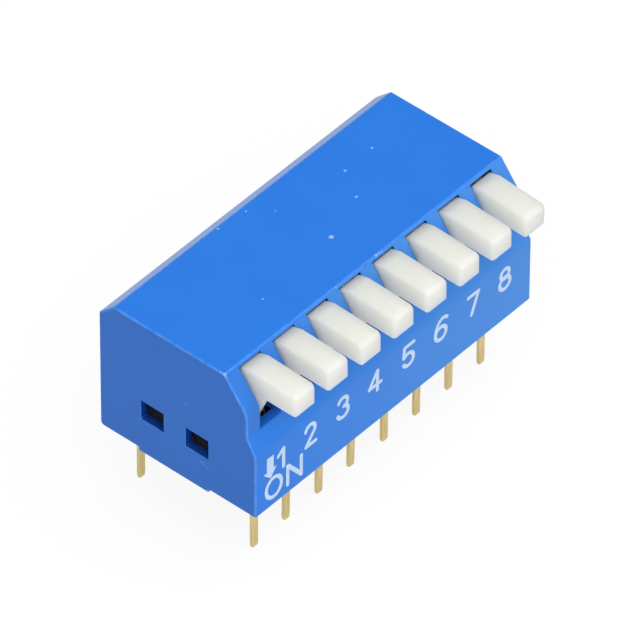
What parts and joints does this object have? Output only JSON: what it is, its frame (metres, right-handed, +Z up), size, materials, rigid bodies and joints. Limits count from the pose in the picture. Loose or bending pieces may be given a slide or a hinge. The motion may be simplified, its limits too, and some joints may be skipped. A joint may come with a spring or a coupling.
{
  "type": "piano dip switch",
  "caption": "Piano-type DIP switch: a blue moulded housing with a row of white rocker levers along its front edge and two rows of board pins below.",
  "frame": {"origin": "middle of the pin grid, in the plane of the standoffs' undersides, which is the board's top", "axes": "+X along the row of levers from the first to the last, -Y towards the levers, +Z up from the board, away from the pins"},
  "size_m": [0.0214, 0.0122, 0.013],
  "materials": {
    "housing": "moulded PBT, satin",
    "base": "moulded PBT, satin",
    "lever": "moulded nylon, satin",
    "contact": "gold flash over phosphor bronze, smooth",
    "print": "pad-printed white ink"
  },
  "bodies": {
    "case": {"housing": "housing", "base": "base", "front_terminal_1": "contact", "front_terminal_2": "contact", "front_terminal_3": "contact", "front_terminal_4": "contact", "front_terminal_5": "contact", "front_terminal_6": "contact", "front_terminal_7": "contact", "front_terminal_8": "contact", "rear_terminal_1": "contact", "rear_terminal_2": "contact", "rear_terminal_3": "contact", "rear_terminal_4": "contact", "rear_terminal_5": "contact", "rear_terminal_6": "contact", "rear_terminal_7": "contact", "rear_terminal_8": "contact"},
    "rocker_1": {"lever_1": "lever", "bridge_1": "contact"},
    "rocker_2": {"lever_2": "lever", "bridge_2": "contact"},
    "rocker_3": {"lever_3": "lever", "bridge_3": "contact"},
    "rocker_4": {"lever_4": "lever", "bridge_4": "contact"},
    "rocker_5": {"lever_5": "lever", "bridge_5": "contact"},
    "rocker_6": {"lever_6": "lever", "bridge_6": "contact"},
    "rocker_7": {"lever_7": "lever", "bridge_7": "contact"},
    "rocker_8": {"lever_8": "lever", "bridge_8": "contact"}
  },
  "joints": [
    {"name": "rocker_1_turn", "type": "hinge", "parent": "case", "child": "rocker_1", "pos_m": [-0.00889, -0.0032, 0.00697], "axis": [1, 0, 0], "range_deg": [0, 28]},
    {"name": "rocker_2_turn", "type": "hinge", "parent": "case", "child": "rocker_2", "pos_m": [-0.00635, -0.0032, 0.00697], "axis": [1, 0, 0], "range_deg": [0, 28]},
    {"name": "rocker_3_turn", "type": "hinge", "parent": "case", "child": "rocker_3", "pos_m": [-0.00381, -0.0032, 0.00697], "axis": [1, 0, 0], "range_deg": [-0.5, 27.5]},
    {"name": "rocker_4_turn", "type": "hinge", "parent": "case", "child": "rocker_4", "pos_m": [-0.00127, -0.0032, 0.00697], "axis": [1, 0, 0], "range_deg": [-0.3, 27.7]},
    {"name": "rocker_5_turn", "type": "hinge", "parent": "case", "child": "rocker_5", "pos_m": [0.00127, -0.0032, 0.00697], "axis": [1, 0, 0], "range_deg": [-0.6, 27.4]},
    {"name": "rocker_6_turn", "type": "hinge", "parent": "case", "child": "rocker_6", "pos_m": [0.00381, -0.0032, 0.00697], "axis": [1, 0, 0], "range_deg": [-0.6, 27.4]},
    {"name": "rocker_7_turn", "type": "hinge", "parent": "case", "child": "rocker_7", "pos_m": [0.00635, -0.0032, 0.00697], "axis": [1, 0, 0], "range_deg": [-0.6, 27.4]},
    {"name": "rocker_8_turn", "type": "hinge", "parent": "case", "child": "rocker_8", "pos_m": [0.00889, -0.0032, 0.00697], "axis": [1, 0, 0], "range_deg": [-2.5, 25.5]}
  ]
}
